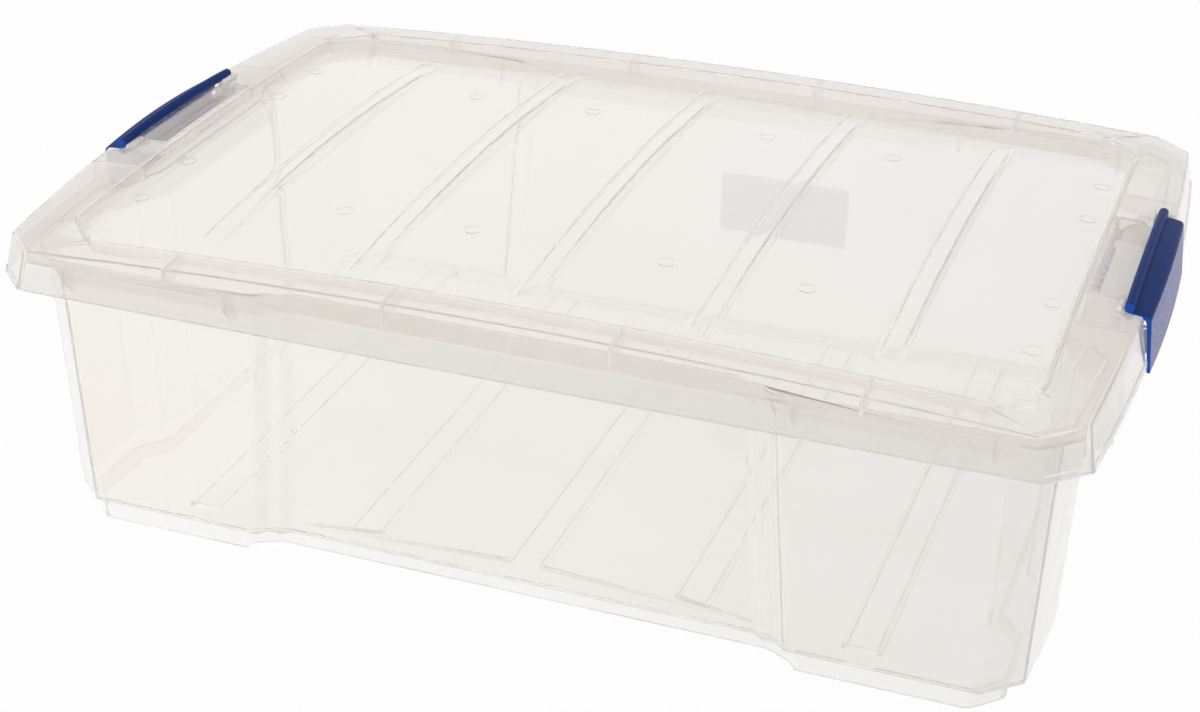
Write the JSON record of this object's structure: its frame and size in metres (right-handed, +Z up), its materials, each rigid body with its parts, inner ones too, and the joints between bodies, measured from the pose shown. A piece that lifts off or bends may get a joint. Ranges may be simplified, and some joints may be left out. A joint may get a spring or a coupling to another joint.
{
  "type": "under bed storage box",
  "caption": "Shallow clear plastic storage box with a crowned ribbed lid and two hinged clip handles that latch the lid down.",
  "frame": {"origin": "centre of the footprint, on the plane that the feet stand on", "axes": "+X along the length towards the right handle, +Y towards the back long wall, +Z up"},
  "size_m": [0.6004, 0.3936, 0.1808],
  "materials": {
    "clear_plastic": "translucent, smooth, semi-gloss",
    "blue_plastic": "opaque, satin, grained on the outer face",
    "label_paper": "plain matt label"
  },
  "bodies": {
    "tub_body": {"tub": "clear_plastic", "label": "label_paper"},
    "lid_body": {"lid": "clear_plastic"},
    "handle_left_body": {"handle_left": "blue_plastic"},
    "handle_right_body": {"handle_right": "blue_plastic"}
  },
  "joints": [
    {"name": "lid_lift", "type": "slide", "parent": "tub_body", "child": "lid_body", "axis": [0, 0, 1], "range_m": [0, 0.25]},
    {"name": "handle_left_hinge", "type": "hinge", "parent": "tub_body", "child": "handle_left_body", "pos_m": [-0.2915, 0, 0.1482], "axis": [0, -1, 0], "range_deg": [0, 120]},
    {"name": "handle_right_hinge", "type": "hinge", "parent": "tub_body", "child": "handle_right_body", "pos_m": [0.2915, 0, 0.1482], "axis": [0, 1, 0], "range_deg": [0, 120]}
  ]
}
